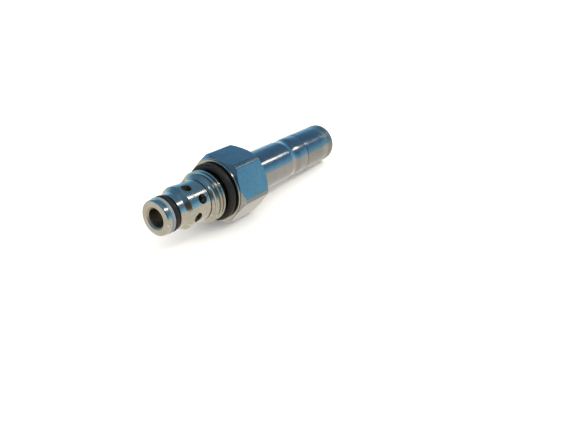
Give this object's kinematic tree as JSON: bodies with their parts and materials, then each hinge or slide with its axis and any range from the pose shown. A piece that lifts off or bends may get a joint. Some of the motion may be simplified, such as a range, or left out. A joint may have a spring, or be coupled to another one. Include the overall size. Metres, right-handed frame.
{
  "type": "cartridge valve",
  "caption": "Screw-in solenoid cartridge valve without its coil: ported nose with seals, thread, hexagon and a smooth tube for the coil",
  "frame": {"origin": "on the valve's axis, half way between the nose tip and the far end of the tube", "axes": "+X along the axis from the nose to the far end of the tube, -X points into the cavity; +Z and -Z are the normals of two opposite hexagon flats"},
  "size_m": [0.101, 0.027, 0.024],
  "materials": {
    "zinc_steel": "zinc plated and polished",
    "champagne_zinc": "pale yellow zinc plate",
    "tube_steel": "ground and polished",
    "inner_steel": "ground",
    "spring_steel": "drawn wire",
    "black_rubber": "satin",
    "grey_polymer": "satin",
    "white_polymer": "satin",
    "bronze_polymer": "satin",
    "bronze": "satin"
  },
  "bodies": {
    "housing": {"hex_body": "zinc_steel", "nose_cage": "champagne_zinc", "nose_backup_ring": "grey_polymer", "nose_o_ring": "black_rubber", "port_o_ring": "black_rubber", "seat_ring": "inner_steel", "guide_tube": "tube_steel", "pole_piece": "tube_steel", "air_gap_shim": "bronze", "tube_o_ring": "black_rubber", "tube_backup_ring": "white_polymer", "pole_o_ring": "black_rubber", "pole_backup_ring": "white_polymer", "armature_spring": "spring_steel"},
    "armature_group": {"armature": "inner_steel", "pilot_pin": "inner_steel", "cross_pin": "inner_steel", "spring_washer": "inner_steel"},
    "poppet_group": {"main_poppet": "inner_steel", "pilot_seat": "bronze", "poppet_guide_ring": "bronze_polymer"}
  },
  "joints": [
    {"name": "armature_stroke", "type": "slide", "parent": "housing", "child": "armature_group", "axis": [1, 0, 0], "range_m": [0, 0.0024], "stiffness_N_per_m": 1200, "springref_m": -0.003, "deforming": ["armature_spring"]},
    {"name": "poppet_lift", "type": "slide", "parent": "housing", "child": "poppet_group", "axis": [1, 0, 0], "range_m": [0, 0.002]}
  ],
  "couplings": [
    {"joint": "poppet_lift", "follows": "armature_stroke", "ratio": 0.83333}
  ]
}
